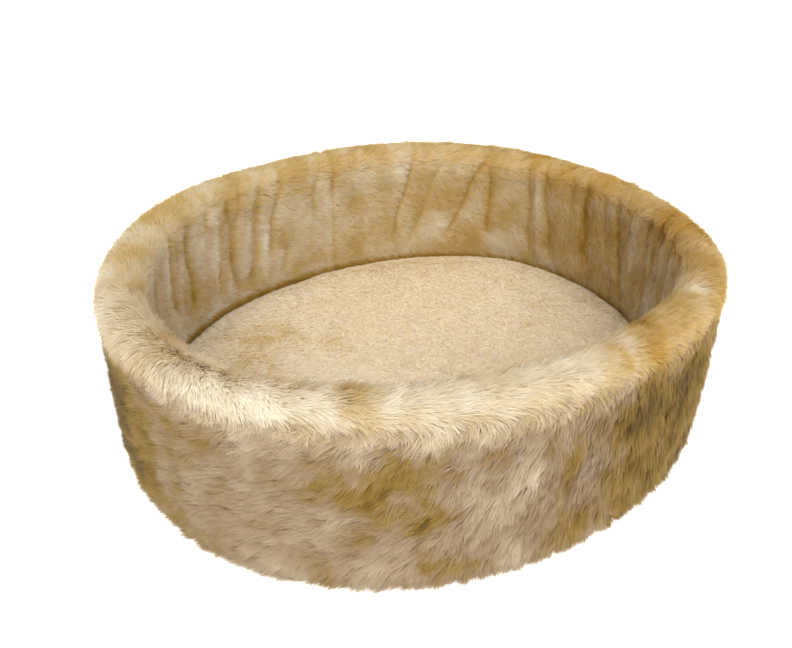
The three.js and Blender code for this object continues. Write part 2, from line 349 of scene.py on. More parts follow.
def drift(points: np.ndarray, size: float, seed: int) -> np.ndarray:
    """Makes soft noise over points as a sum of waves in chance directions.

    Args:
        points: One row for each point, in metres, along the last axis.
        size: The length of a typical wave, in millimetres.
        seed: What sets the chances.

    Returns:
        Noise around 0 that mostly stays between -1 and 1.
    """
    chance = np.random.default_rng(seed)
    total = np.zeros(points.shape[:-1])
    for _ in range(28):
        way = unit(chance.normal(size=3)) * 2.0 * math.pi / (size * MM)
        way = way * chance.uniform(0.6, 1.7)
        total += np.cos(points @ way + chance.uniform(0.0, 2.0 * math.pi))
    return total / math.sqrt(28.0)


def linear(code: str) -> tuple[float, float, float, float]:
    """Turns an sRGB hex colour into linear red, green, blue and alpha."""
    shares = [int(code[place:place + 2], 16) / 255.0 for place in (1, 3, 5)]
    red, green, blue = (
        share / 12.92 if share <= 0.04045 else ((share + 0.055) / 1.055) ** 2.4
        for share in shares
    )
    return red, green, blue, 1.0


def add_node(
    tree: bpy.types.NodeTree, kind: str, inputs: dict | None = None, **settings: object
) -> bpy.types.Node:
    """Adds a node with its settings, values and links.

    Args:
        tree: The tree it goes in.
        kind: Its Blender type.
        inputs: By name or number, a plain value, a socket, or a node whose first output is meant.
        **settings: The node's own properties.

    Returns:
        The node.
    """
    node = tree.nodes.new(kind)
    for name, value in settings.items():
        setattr(node, name, value)
    for key, value in (inputs or {}).items():
        sockets = [socket for socket in node.inputs if socket.enabled]
        if isinstance(key, int):
            socket = node.inputs[key]
        else:
            socket = next(socket for socket in sockets if socket.name == key)
        if isinstance(value, bpy.types.Node):
            value = next(output for output in value.outputs if output.enabled)
        if isinstance(value, bpy.types.NodeSocket):
            tree.links.new(value, socket)
        else:
            socket.default_value = value
    return node


def new_material(name: str) -> tuple[bpy.types.Material, bpy.types.NodeTree]:
    """Makes an empty material, and returns it with its tree."""
    material = bpy.data.materials.new(name)
    material.use_nodes = True
    material.node_tree.nodes.clear()
    return material, material.node_tree


def new_object(name: str, mesh: bpy.types.Mesh) -> bpy.types.Object:
    """Puts a mesh into the scene as an object at the origin."""
    piece = bpy.data.objects.new(name, mesh)
    bpy.context.scene.collection.objects.link(piece)
    return piece


def new_mesh(
    name: str, points: np.ndarray, faces: list, attributes: dict | None = None
) -> bpy.types.Mesh:
    """Makes a smooth mesh from points in metres.

    Args:
        name: Its name.
        points: One row for each point.
        faces: The corners of each face.
        attributes: For each name, one number or vector for each point.

    Returns:
        The mesh.
    """
    mesh = bpy.data.meshes.new(name)
    mesh.from_pydata(points.tolist(), [], faces)
    mesh.polygons.foreach_set("use_smooth", np.ones(len(mesh.polygons), bool))
    for title, values in (attributes or {}).items():
        vector = values.ndim == 2
        layer = mesh.attributes.new(title, "FLOAT_VECTOR" if vector else "FLOAT", "POINT")
        layer.data.foreach_set(
            "vector" if vector else "value", values.astype(np.float32).ravel()
        )
    mesh.update()
    return mesh


def points_of(mesh: bpy.types.Mesh) -> np.ndarray:
    """Returns a mesh's points, one row each."""
    points = np.zeros(len(mesh.vertices) * 3, np.float32)
    mesh.vertices.foreach_get("co", points)
    return points.reshape(-1, 3).astype(float)


def normals_of(mesh: bpy.types.Mesh) -> np.ndarray:
    """Returns the direction that each point of a mesh faces."""
    normals = np.zeros(len(mesh.vertices) * 3, np.float32)
    mesh.vertex_normals.foreach_get("vector", normals)
    return normals.reshape(-1, 3).astype(float)


@dataclass
class BedForm:
    """The measured form of the bed over its pile, in millimetres."""

    length: float = 600.0
    width: float = 518.8
    squareness: float = 2.2
    wall_height: float = 171.3
    wall_thickness: float = 40.5
    rim_radius: float = 17.0
    foot_tuck: float = 8.8
    foot_roll: float = 25.0
    inner_tuck: float = 3.0
    cushion_gap: float = 0.3
    cushion_edge: float = 40.0
    cushion_crown: float = 47.0
    cushion_roll: float = 9.0
    gather_fade: float = 11.0
    gather_floor: float = 33.0
    gather_full: float = 56.0
    seam_angle: float = 80.0
    seam_depth: float = 1.8
    seam_half_width: float = 4.0
    middle: np.ndarray = field(default_factory=lambda: np.zeros(2))

    def __post_init__(self) -> None:
        """Finds the middle of the outline, which is the origin of the frame."""
        turn = np.radians(np.arange(0.0, 360.0, 0.5))[:, None]
        height = np.linspace(self.foot_roll, self.wall_height - self.rim_radius, 12)[None, :]
        depth = self.slack_depth(turn, height) + self.seam_depth_at(turn)
        x, y, _ = self.plan(turn, -depth, height / self.wall_height)
        self.middle = np.array([(x.min() + x.max()) / 2.0, (y.min() + y.max()) / 2.0])

    @staticmethod
    def waves(rows: tuple[Wave, ...], facing: np.ndarray) -> np.ndarray:
        """Sums a list of waves in the direction that each place faces."""
        return sum(
            row.size * np.cos(row.lobes * (facing - math.radians(row.toward))) for row in rows
        )

    def plan(
        self, turn: np.ndarray, offset: np.ndarray | float, share: np.ndarray | float
    ) -> tuple[np.ndarray, np.ndarray, np.ndarray]:
        """Finds places round the wall.

        Args:
            turn: Angles round the bed, in radians.
            offset: How far outside the plan line each place lies, square to it.
            share: Its share of the wall's height.

        Returns:
            x, y, and how far the rim's waves lift the place.
        """
        power = 2.0 / self.squareness
        cos, sin = np.cos(turn), np.sin(turn)
        x = self.length / 2.0 * np.sign(cos) * np.abs(cos) ** power
        y = self.width / 2.0 * np.sign(sin) * np.abs(sin) ** power
        slope_x = np.sign(cos) * np.abs(cos) ** (2.0 - power) / self.length
        slope_y = np.sign(sin) * np.abs(sin) ** (2.0 - power) / self.width
        facing = np.arctan2(slope_y, slope_x)
        out = offset + self.waves(OUTLINE_WAVES, facing) + share * self.waves(LEAN_WAVES, facing)
        lift = share * self.waves(RIM_WAVES, facing)
        return x + out * np.cos(facing), y + out * np.sin(facing), lift

    def across(self, turn: np.ndarray, angle: np.ndarray, offset: float) -> np.ndarray:
        """Measures how far each turn lies from an angle (radians) on a line round the bed."""
        x, y, _ = self.plan(turn, offset, 0.0)
        x_there, y_there, _ = self.plan(angle, offset, 0.0)
        return np.hypot(x - x_there, y - y_there)

    def gather_depth(
        self, turn: np.ndarray, height: np.ndarray, spread: float
    ) -> np.ndarray:
        """Measures how far the gathers press in at places on the inner wall.

        Args:
            turn: Angles round the bed.
            height: Heights.
            spread: How broad the gathers are against their own width.

        Returns:
            Depths, below 0 on a ridge.
        """
        down = (self.wall_height - height) / (self.wall_height - self.cushion_edge)
        total = np.zeros(np.broadcast_shapes(turn.shape, height.shape))
        fade = self.gather_fade
        for row in GATHERS:
            angle = np.radians(row.rim_angle + (row.foot_angle - row.rim_angle) * down)
            angle = angle + 0.006 * np.sin(height / 11.0 + row.rim_angle)
            across = self.across(turn, angle, -self.wall_thickness) / (row.width * spread)
            below = smoothstep(height, row.foot - fade, row.foot + fade)
            above = smoothstep(height, row.top - fade, row.top + fade)
            runs = below * (1.0 + (row.nick - 1.0) * above)
            total = total + row.depth * runs / (1.0 + across * across) ** 2
        return total

    def slack_depth(self, turn: np.ndarray, height: np.ndarray) -> np.ndarray:
        """Measures how far the slack presses in at places on the outside."""
        total = np.zeros(np.broadcast_shapes(turn.shape, height.shape))
        for row in SLACKS:
            across = self.across(turn, np.radians(np.float64(row.angle)), 0.0) / row.width
            up = (height - row.middle) / row.height
            total = total + row.depth * np.exp(-across * across - up * up)
        return total

    def seam_depth_at(self, turn: np.ndarray) -> np.ndarray:
        """Measures the groove of the seam in the wall's cover."""
        angle = np.radians(np.float64(self.seam_angle))
        across = self.across(turn, angle, 0.0) / self.seam_half_width
        return self.seam_depth * np.exp(-across * across)

    def wall_points(self, turn: np.ndarray, section: "Section") -> np.ndarray:
        """Places the cover of the wall.

        Args:
            turn: Angles round the bed.
            section: The wall's cross section, with how deep the cover lies in it.

        Returns:
            Points in metres, turns by section points by 3.
        """
        turn = turn[:, None]
        offset, height = section.offset[None], section.height[None]
        facing_out, facing_up = section.facing_out[None], section.facing_up[None]
        inside = offset < -self.wall_thickness / 2.0
        free = np.where(
            inside,
            smoothstep(height, self.gather_floor, self.gather_full),
            smoothstep(height, 0.0, self.foot_roll),
        )
        folds = np.where(
            inside, 0.68 * self.gather_depth(turn, height, 1.25),
            self.slack_depth(turn, height),
        )
        depth = free * (folds + self.seam_depth_at(turn)) + section.inset[None]
        x, y, lift = self.plan(turn, offset - depth * facing_out, height / self.wall_height)
        z = height + lift - depth * facing_up
        points = np.stack([x - self.middle[0], y - self.middle[1], z], axis=-1)
        return points * MM

    def cushion_top(self, x: np.ndarray, y: np.ndarray, share: np.ndarray) -> np.ndarray:
        """Finds the height of the cushion's top, share of the way from middle to edge."""
        crown = (self.cushion_crown - self.cushion_edge) * (1.0 - share * share)
        dents = sum(
            row.depth * np.exp(-((x - row.x) ** 2 + (y - row.y) ** 2) / row.radius ** 2)
            for row in DENTS
        )
        return self.cushion_edge + crown - dents * (1.0 - share ** 4)


@dataclass
class Section:
    """The wall's cross section from the outer foot over the rim to the inner foot, and how
    deep under it the cover lies, which is the height of the pile there. Millimetres."""

    form: BedForm
    outer_pile: float = 5.6
    rim_pile: float = 3.4
    inner_pile: float = 3.4
    under_gap: float = 0.3
    outer_steps: int = 17
    arc_steps: int = 7
    inner_steps: int = 22

    def __post_init__(self) -> None:
        """Lays out the points, the way they face, the way along and the cover's depth."""
        form = self.form
        radius, shoulder = form.rim_radius, form.wall_height - form.rim_radius
        share = np.linspace(0.0, 1.0, 7)[:-1]
        foot = np.stack([
            -form.foot_tuck * (1.0 - share) ** 2,
            2.0 * share * (1.0 - share) * 8.0 + share ** 2 * form.foot_roll,
        ], axis=1)
        rise = np.linspace(form.foot_roll, shoulder, self.outer_steps)[:-1]
        outer = np.stack([np.zeros_like(rise), rise], axis=1)
        arc = np.linspace(0.0, math.pi / 2.0, self.arc_steps)
        rim = np.stack(
            [radius * (np.cos(arc) - 1.0), shoulder + radius * np.sin(arc)], axis=1
        )
        back = rim[::-1] * [-1.0, 1.0] + [-form.wall_thickness, 0.0]
        fall = np.linspace(shoulder, form.gather_floor, self.inner_steps)[1:]
        inner = np.stack([np.full_like(fall, -form.wall_thickness), fall], axis=1)
        inner_foot = np.array([
            [-form.wall_thickness + form.inner_tuck / 3.0, form.gather_floor * 0.5],
            [-form.wall_thickness + form.inner_tuck, 3.0],
            [-form.wall_thickness + form.inner_tuck + 2.0, 0.0],
        ])
        points = np.concatenate([foot, outer, rim, back, inner, inner_foot])
        self.offset, self.height = points[:, 0], points[:, 1]
        along = np.roll(points, -1, axis=0) - np.roll(points, 1, axis=0)
        facing = unit(np.stack([along[:, 1], -along[:, 0]], axis=1))
        self.facing_out, self.facing_up = facing[:, 0], facing[:, 1]
        steps = np.linalg.norm(np.diff(points, axis=0), axis=1)
        self.reach = np.concatenate([[0.0], np.cumsum(steps)])
        at_outer = len(foot) + len(outer)
        at_inner = at_outer + 2 * self.arc_steps - 1
        last = len(points) - len(inner_foot)
        self.outer_run = slice(0, at_outer + 2)
        self.rim_run = slice(at_outer + 1, at_inner)
        self.inner_run = slice(at_inner - 1, last + 1)
        self.shoulder = self.reach[at_outer]
        self.crown = (self.reach[at_outer] + self.reach[at_inner]) / 2.0
        self.inner_shoulder = self.reach[at_inner]
        self.well = self.reach[last - 1]
        keys = [0.0, self.shoulder, self.crown, self.inner_shoulder, self.well]
        depths = [self.outer_pile, self.outer_pile, self.rim_pile, self.inner_pile,
                  self.inner_pile]
        inset = np.interp(self.reach, keys, depths)
        low = smoothstep(self.height, 0.0, 14.0)
        self.inset = self.under_gap + (inset - self.under_gap) * low
        self.inset[0] = self.under_gap
        self.inset[-1] = self.under_gap
        self.facing_out[[0, -1]] = 0.0
        self.facing_up[[0, -1]] = -1.0


class Tone(Enum):
    """The named steps of the plush's colour, from matted down to brushed up."""

    MATTED = 0.0
    TAN = 0.25
    BEIGE = 0.5
    CREAM = 0.75
    PALE = 1.0


@dataclass(frozen=True)
class PlushPile:
    """Acrylic plush pile, knitted, sheared and brushed: each strand is deeper in colour at its
    root, so the pile looks dark where it is parted or pressed and pale where its tips meet."""

    name: str
    roots: tuple[str, ...]
    tips: tuple[str, ...]
    golden_roots: tuple[str, ...]
    golden_tips: tuple[str, ...]
    root_roughness: float = 0.95
    tip_roughness: float = 0.7
    sheen: float = 0.2
    sheen_tint: str = "#FFF4DC"
    translucent: float = 0.5  # light also comes through the thin strands from behind

    @staticmethod
    def ramp(
        tree: bpy.types.NodeTree, shade: object, plain: tuple, golden: tuple
    ) -> bpy.types.Node:
        """Adds the run of colours: the plain strands' in its first half, then the golden's.

        Args:
            tree: The material's tree.
            shade: The socket that gives the place in the run.
            plain: One colour for each step of Tone.
            golden: The same for the golden strands.

        Returns:
            The node.
        """
        ramp = add_node(tree, "ShaderNodeValToRGB", {"Fac": shade})
        stops = ramp.color_ramp.elements
        for start, colours in ((0.0, plain), (0.5, golden)):
            for step, code in zip(Tone, colours):
                place = start + 0.005 + 0.49 * step.value
                stops.new(place).color = linear(code)
        stops.remove(stops[0])
        stops.remove(stops[-1])
        return ramp

    def material(self) -> bpy.types.Material:
        """Makes the material, which reads each strand's tone and the way along it."""
        material, tree = new_material(self.name)
        place = add_node(tree, "ShaderNodeUVMap", uv_map=BAKE_MAP)
        parts = add_node(tree, "ShaderNodeSeparateXYZ", {"Vector": place})
        shade, along = parts.outputs["X"], parts.outputs["Y"]
        mix = add_node(
            tree, "ShaderNodeMix",
            {
                "Factor": add_node(
                    tree, "ShaderNodeMapRange", {"Value": along, "From Max": 0.8},
                    interpolation_type="SMOOTHSTEP",
                ),
                6: self.ramp(tree, shade, self.roots, self.golden_roots),
                7: self.ramp(tree, shade, self.tips, self.golden_tips),
            },
            data_type="RGBA",
        )
        roughness = add_node(
            tree, "ShaderNodeMapRange",
            {"Value": along, "To Min": self.root_roughness, "To Max": self.tip_roughness},
        )
        shader = add_node(
            tree, "ShaderNodeBsdfPrincipled",
            {
                "Base Color": mix.outputs[2],
                "Roughness": roughness,
                "IOR": 1.49,
                "Specular IOR Level": 0.25,
                "Sheen Weight": self.sheen,
                "Sheen Roughness": 0.5,
                "Sheen Tint": linear(self.sheen_tint),
            },
        )
        through = add_node(tree, "ShaderNodeBsdfTranslucent", {"Color": mix.outputs[2]})
        both = add_node(
            tree, "ShaderNodeMixShader", {"Fac": self.translucent, 1: shader, 2: through}
        )
        add_node(tree, "ShaderNodeOutputMaterial", {"Surface": both})
        return material


@dataclass(frozen=True)
class PlushGround:
    """The knitted ground and dense underfur of the plush: darker, matt and finely crumbly, it
    only shows between the strands and on the plain underside."""

    name: str
    deep: str
    light: str
    fibre: float = 1.4  # millimetres between clumps of underfur

    def material(self) -> bpy.types.Material:
        """Makes the material, which reads the piece's own place in metres."""
        material, tree = new_material(self.name)
        place = add_node(tree, "ShaderNodeTexCoord").outputs["Object"]
        fibres = add_node(
            tree, "ShaderNodeTexNoise",
            {"Vector": place, "Scale": 1.0 / (self.fibre * MM), "Detail": 3.0},
        )
        mottle = add_node(
            tree, "ShaderNodeTexNoise",
            {"Vector": place, "Scale": 1.0 / (24.0 * MM), "Detail": 2.0},
        )
        both = add_node(
            tree, "ShaderNodeMath", {0: fibres, 1: mottle}, operation="MULTIPLY"
        )
        shade = add_node(
            tree, "ShaderNodeMapRange", {"Value": both, "From Min": 0.12, "From Max": 0.4}
        )
        mix = add_node(
            tree, "ShaderNodeMix",
            {"Factor": shade, 6: linear(self.deep), 7: linear(self.light)},
            data_type="RGBA",
        )
        roughness = add_node(
            tree, "ShaderNodeMapRange", {"Value": fibres, "To Min": 0.85, "To Max": 1.0}
        )
        bump = add_node(
            tree, "ShaderNodeBump",
            {"Height": fibres, "Strength": 0.56, "Distance": 0.8 * MM},
        )
        shader = add_node(
            tree, "ShaderNodeBsdfPrincipled",
            {
                "Base Color": mix.outputs[2],
                "Roughness": roughness,
                "Normal": bump,
                "IOR": 1.49,
                "Specular IOR Level": 0.15,
            },
        )
        add_node(tree, "ShaderNodeOutputMaterial", {"Surface": shader})
        return material


@dataclass(frozen=True)
class Strand:
    """One strand of pile as a narrow blade that ends in a point."""

    bend: float = 0.45  # share of its length that keeps to the direction of its root

    def mesh(self) -> bpy.types.Mesh:
        """Makes the blade. Its points only hold how far they follow each of its directions."""
        side = np.array([-1.0, 1.0, 0.0])
        along = np.array([0.0, 0.0, 1.0])
        points = np.stack([side, along, np.zeros_like(along)], axis=1) * MM
        shares = {
            "side": side, "along": along, "rise": self.bend * along,
            "reach": (1.0 - self.bend) * along, "pull": along,
        }
        return new_mesh("strand", points, [(1, 0, 2)], shares)


@dataclass(frozen=True)
class PileCut:
    """How one field of pile is cut and brushed. Lengths in millimetres, angles in degrees."""

    density: float  # strands for each square centimetre
    width: float
    scatter: float
    swirl: float
    swirl_size: float
    tuft_size: float
    tuft_pull: float
    tuft_turn: float
    ragged: float  # how much longer or shorter than the next a tuft is, as a share
    mottle: float
    softness: float  # how much a strand is shaded as the cover under it
    strand: Strand = Strand()


class PileTree:
    """The geometry nodes that plant a field of pile on a cover."""

    LEAN_SPREAD = 0.18  # radians that a strand leans more or less than the next
    CURL = 0.5  # radians that its tip swings aside
    ROLL = 0.6  # radians that its blade is turned about itself
    TONE_SPREAD = 0.05  # how much a strand or a tuft differs in tone

    SIZES = (
        ("Density", "NodeSocketFloat"),
        ("Strand Width", "NodeSocketFloat"),
        ("Scatter", "NodeSocketFloat"),
        ("Swirl", "NodeSocketFloat"),
        ("Swirl Scale", "NodeSocketFloat"),
        ("Tuft Scale", "NodeSocketFloat"),
        ("Tuft Pull", "NodeSocketFloat"),
        ("Tuft Turn", "NodeSocketFloat"),
        ("Ragged", "NodeSocketFloat"),
        ("Mottle", "NodeSocketFloat"),
        ("Softness", "NodeSocketFloat"),
        ("Seed", "NodeSocketInt"),
        ("Strand", "NodeSocketObject"),
        ("Material", "NodeSocketMaterial"),
    )

    def __init__(self) -> None:
        """Builds the tree."""
        self.tree = bpy.data.node_groups.new("plush_pile", "GeometryNodeTree")
        self.tree.interface.new_socket(
            name="Cover", in_out="INPUT", socket_type="NodeSocketGeometry"
        )
        for title, kind in self.SIZES:
            self.tree.interface.new_socket(name=title, in_out="INPUT", socket_type=kind)
        self.tree.interface.new_socket(
            name="Pile", in_out="OUTPUT", socket_type="NodeSocketGeometry"
        )
        self.given = add_node(self.tree, "NodeGroupInput").outputs
        geometry = self.shape(self.realised(self.planted()))
        finished = add_node(
            self.tree, "GeometryNodeSetMaterial",
            {"Geometry": geometry, "Material": self.given["Material"]},
        )
        add_node(self.tree, "NodeGroupOutput", {"Pile": finished})

    def named(self, title: str, kind: str = "FLOAT_VECTOR") -> bpy.types.Node:
        """Adds a reader of an attribute."""
        return add_node(
            self.tree, "GeometryNodeInputNamedAttribute", {"Name": title}, data_type=kind
        )

    def kept(
        self, geometry: bpy.types.Node, values: dict, kind: str = "FLOAT_VECTOR"
    ) -> bpy.types.Node:
        """Stores values on the points of a geometry.

        Args:
            geometry: The geometry.
            values: A field for each attribute's name.
            kind: The type of all of them.

        Returns:
            The last node.
        """
        for title, value in values.items():
            geometry = add_node(
                self.tree, "GeometryNodeStoreNamedAttribute",
                {"Geometry": geometry, "Name": title, "Value": value},
                data_type=kind, domain="POINT",
            )
        return geometry

    def signed(self, value: object, size: object) -> bpy.types.Node:
        """Turns a chance from 0 to 1 into one from -size to size."""
        tree = self.tree
        centred = add_node(tree, "ShaderNodeMath", {0: value, 1: 0.5}, operation="SUBTRACT")
        double = add_node(tree, "ShaderNodeMath", {0: centred, 1: 2.0}, operation="MULTIPLY")
        return add_node(tree, "ShaderNodeMath", {0: double, 1: size}, operation="MULTIPLY")

    def total(self, *terms: object) -> bpy.types.Node:
        """Adds up two fields or more."""
        result = terms[0]
        for term in terms[1:]:
            result = add_node(
                self.tree, "ShaderNodeMath", {0: result, 1: term}, operation="ADD"
            )
        return result

    def planted(self) -> bpy.types.Node:
        """Spreads the roots over the cover and gives each its strand's directions."""
        tree, given = self.tree, self.given
        points = add_node(
            tree, "GeometryNodeDistributePointsOnFaces",
            {"Mesh": given["Cover"], "Density": given["Density"], "Seed": given["Seed"]},
            distribute_method="RANDOM",
        )
        root = add_node(tree, "GeometryNodeInputPosition")
        chances = [
            add_node(
                tree, "ShaderNodeSeparateXYZ",
                {"Vector": add_node(
                    tree, "FunctionNodeRandomValue", {"Seed": seed}, data_type="FLOAT_VECTOR"
                )},
            ).outputs
            for seed in (11, 12, 13)
        ]
        swirl = add_node(
            tree, "ShaderNodeTexNoise",
            {"Vector": root, "Scale": given["Swirl Scale"], "Detail": 2.0, "Roughness": 0.55},
        )
        drifts = add_node(
            tree, "ShaderNodeSeparateXYZ", {"Vector": swirl.outputs["Color"]}
        ).outputs
        tuft = add_node(
            tree, "ShaderNodeTexVoronoi", {"Vector": root, "Scale": given["Tuft Scale"]}
        )
        tufts = add_node(
            tree, "ShaderNodeSeparateXYZ", {"Vector": tuft.outputs["Color"]}
        ).outputs
        facing = add_node(
            tree, "ShaderNodeVectorMath", {0: self.named("facing")}, operation="NORMALIZE"
        )
        azimuth = self.total(
            self.signed(chances[0]["X"], given["Scatter"]),
            self.signed(tufts["X"], given["Tuft Turn"]),
            self.signed(drifts["X"], given["Swirl"]),
        )
        lay = add_node(
            tree, "ShaderNodeVectorRotate",
            {"Vector": self.named("lay"), "Axis": facing, "Angle": azimuth},
            rotation_type="AXIS_ANGLE",
        )
        across = add_node(
            tree, "ShaderNodeVectorMath",
            {0: add_node(
                tree, "ShaderNodeVectorMath", {0: facing, 1: lay}, operation="CROSS_PRODUCT"
            )},
            operation="NORMALIZE",
        )
        leans = {}
        for title, chance in (("lean_root", chances[0]["Y"]), ("lean_tip", chances[0]["Z"])):
            angle = self.total(self.named(title, "FLOAT"), self.signed(chance, self.LEAN_SPREAD))
            leans[title] = add_node(
                tree, "ShaderNodeVectorRotate",
                {"Vector": facing, "Axis": across, "Angle": angle},
                rotation_type="AXIS_ANGLE",
            )
        curled = add_node(
            tree, "ShaderNodeVectorRotate",
            {
                "Vector": leans["lean_tip"],
                "Axis": facing,
                "Angle": self.signed(chances[1]["X"], self.CURL),
            },
            rotation_type="AXIS_ANGLE",
        )
        rolled = add_node(
            tree, "ShaderNodeVectorRotate",
            {"Vector": across, "Axis": curled, "Angle": self.signed(chances[1]["Y"], self.ROLL)},
            rotation_type="AXIS_ANGLE",
        )
        cut = self.total(
            add_node(
                tree, "ShaderNodeMapRange",
                {"Value": chances[1]["Z"], "To Min": 0.72, "To Max": 1.18},
            ),
            self.signed(tufts["Z"], given["Ragged"]),
        )
        length = add_node(
            tree, "ShaderNodeMath",
            {0: self.named("pile_length", "FLOAT"), 1: cut}, operation="MULTIPLY",
        )
        half_width = add_node(
            tree, "ShaderNodeMath",
            {
                0: given["Strand Width"],
                1: add_node(
                    tree, "ShaderNodeMapRange",
                    {"Value": chances[0]["Y"], "To Min": 0.35, "To Max": 0.65},
                ),
            },
            operation="MULTIPLY",
        )
        to_tuft = add_node(
            tree, "ShaderNodeVectorMath",
            {0: tuft.outputs["Position"], 1: root}, operation="SUBTRACT",
        )
        out_of_plane = add_node(
            tree, "ShaderNodeVectorMath", {0: to_tuft, 1: facing}, operation="PROJECT"
        )
        in_plane = add_node(
            tree, "ShaderNodeVectorMath", {0: to_tuft, 1: out_of_plane}, operation="SUBTRACT"
        )
        pull = add_node(
            tree, "ShaderNodeVectorMath",
            {0: in_plane, "Scale": given["Tuft Pull"]}, operation="SCALE",
        )
        tone = self.total(
            self.named("tone", "FLOAT"),
            self.signed(drifts["Y"], given["Mottle"]),
            self.total(
                self.signed(chances[1]["X"], self.TONE_SPREAD),
                self.signed(tufts["Y"], self.TONE_SPREAD),
            ),
        )
        held = add_node(
            tree, "ShaderNodeClamp", {"Value": tone, "Min": 0.02, "Max": 0.98}
        )
        golden = add_node(
            tree, "ShaderNodeMath",
            {0: chances[2]["X"], 1: self.named("golden", "FLOAT")}, operation="LESS_THAN",
        )
        in_run = add_node(
            tree, "ShaderNodeMath",
            {
                0: self.total(held, golden),
                1: 0.5,
            },
            operation="MULTIPLY",
        )
        ways = {"root": root, "pull_way": pull}
        for title, direction, size in (
            ("rise_way", leans["lean_root"], length),
            ("reach_way", curled, length),
            ("side_way", rolled, half_width),
        ):
            ways[title] = add_node(
                tree, "ShaderNodeVectorMath",
                {0: direction, "Scale": size}, operation="SCALE",
            )
        for title, direction in (
            ("shade_root", leans["lean_root"]), ("shade_tip", curled)
        ):
            square = add_node(
                tree, "ShaderNodeVectorMath", {0: direction, 1: rolled},
                operation="CROSS_PRODUCT",
            )
            ways[title] = add_node(
                tree, "ShaderNodeMix",
                {"Factor": given["Softness"], 4: square, 5: self.named("lit")},
                data_type="VECTOR",
            ).outputs[1]
        stored = self.kept(points.outputs["Points"], ways)
        stored = self.kept(stored, {"strand_tone": in_run}, "FLOAT")
        return add_node(
            tree, "GeometryNodeInstanceOnPoints",
            {
                "Points": stored,
                "Instance": add_node(
                    tree, "GeometryNodeObjectInfo", {"Object": given["Strand"]}
                ).outputs["Geometry"],
            },
        )

    def realised(self, instances: bpy.types.Node) -> bpy.types.Node:
        """Turns the planted strands into plain mesh."""
        return add_node(self.tree, "GeometryNodeRealizeInstances", {"Geometry": instances})

    def shape(self, mesh: bpy.types.Node) -> bpy.types.Node:
        """Bends every strand along its directions and gives it its shading and its map."""
        tree = self.tree
        place = self.named("root")
        for share, way in (
            ("rise", "rise_way"), ("reach", "reach_way"), ("pull", "pull_way"),
            ("side", "side_way"),
        ):
            step = add_node(
                tree, "ShaderNodeVectorMath",
                {0: self.named(way), "Scale": self.named(share, "FLOAT")},
                operation="SCALE",
            )
            place = add_node(
                tree, "ShaderNodeVectorMath", {0: place, 1: step}, operation="ADD"
            )
        above_floor = add_node(
            tree, "ShaderNodeVectorMath",
            {0: place, 1: (-10.0, -10.0, 0.3 * MM)}, operation="MAXIMUM",
        )
        moved = add_node(
            tree, "GeometryNodeSetPosition", {"Geometry": mesh, "Position": above_floor}
        )
        shade = add_node(
            tree, "ShaderNodeMix",
            {
                "Factor": self.named("along", "FLOAT"),
                4: self.named("shade_root"),
                5: self.named("shade_tip"),
            },
            data_type="VECTOR",
        )
        shaded = self.kept(moved, {"shade": shade.outputs[1]})
        edge = add_node(
            tree, "ShaderNodeMath",
            {0: self.named("side", "FLOAT"), 1: 0.004, 2: self.named("strand_tone", "FLOAT")},
            operation="MULTIPLY_ADD",
        )
        up = add_node(
            tree, "ShaderNodeMapRange",
            {"Value": self.named("along", "FLOAT"), "To Min": 0.01, "To Max": 0.99},
        )
        spot = add_node(tree, "ShaderNodeCombineXYZ", {"X": edge, "Y": up})
        return add_node(
            tree, "GeometryNodeStoreNamedAttribute",
            {"Geometry": shaded, "Name": BAKE_MAP, "Value": spot},
            data_type="FLOAT2", domain="CORNER",
        )

    def plant(
        self,
        name: str,
        cover: bpy.types.Mesh,
        cut: PileCut,
        seed: int,
        material: bpy.types.Material,
    ) -> bpy.types.Object:
        """Plants one field of pile and makes it plain mesh.

        Args:
            name: The piece's name.
            cover: The mesh it grows from, with facing, lit, lay, pile_length, lean_root,
                lean_tip, tone and golden on its points.
            cut: How the pile is cut.
            seed: What sets its chances.
            material: Its finish.

        Returns:
            The piece.
        """
        host = new_object(name + "_cover", cover)
        blade = new_object(name + "_strand", cut.strand.mesh())
        sizes = {
            "Density": cut.density * 1e4,
            "Strand Width": cut.width * MM,
            "Scatter": math.radians(cut.scatter),
            "Swirl": math.radians(cut.swirl),
            "Swirl Scale": 1.0 / (cut.swirl_size * MM),
            "Tuft Scale": 1.0 / (cut.tuft_size * MM),
            "Tuft Pull": cut.tuft_pull,
            "Tuft Turn": math.radians(cut.tuft_turn),
            "Ragged": cut.ragged,
            "Mottle": cut.mottle,
            "Softness": cut.softness,
            "Seed": seed,
            "Strand": blade,
            "Material": material,
        }
        modifier = host.modifiers.new("pile", "NODES")
        modifier.node_group = self.tree
        for socket in self.tree.interface.items_tree:
            if socket.in_out == "INPUT" and socket.name in sizes:
                modifier[socket.identifier] = sizes[socket.name]
        depsgraph = bpy.context.evaluated_depsgraph_get()
        mesh = bpy.data.meshes.new_from_object(
            host.evaluated_get(depsgraph), preserve_all_data_layers=True, depsgraph=depsgraph
        )
        host.modifiers.clear()
        mesh.name = name
        mesh.materials.clear()
        mesh.materials.append(material)
        mesh.polygons.foreach_set("use_smooth", np.ones(len(mesh.polygons), bool))
        shade = np.zeros(len(mesh.vertices) * 3, np.float32)
        mesh.attributes["shade"].data.foreach_get("vector", shade)
        needed = {"position", BAKE_MAP, "sharp_face"}
        for title in [layer.name for layer in mesh.attributes]:
            layer = mesh.attributes.get(title)
            if title not in needed and not layer.is_required and not layer.is_internal:
                mesh.attributes.remove(layer)
        mesh.normals_split_custom_set_from_vertices(unit(shade.reshape(-1, 3)).tolist())
        for helper in (host, blade):
            old = helper.data
            bpy.data.objects.remove(helper)
            bpy.data.meshes.remove(old)
        return new_object(name, mesh)


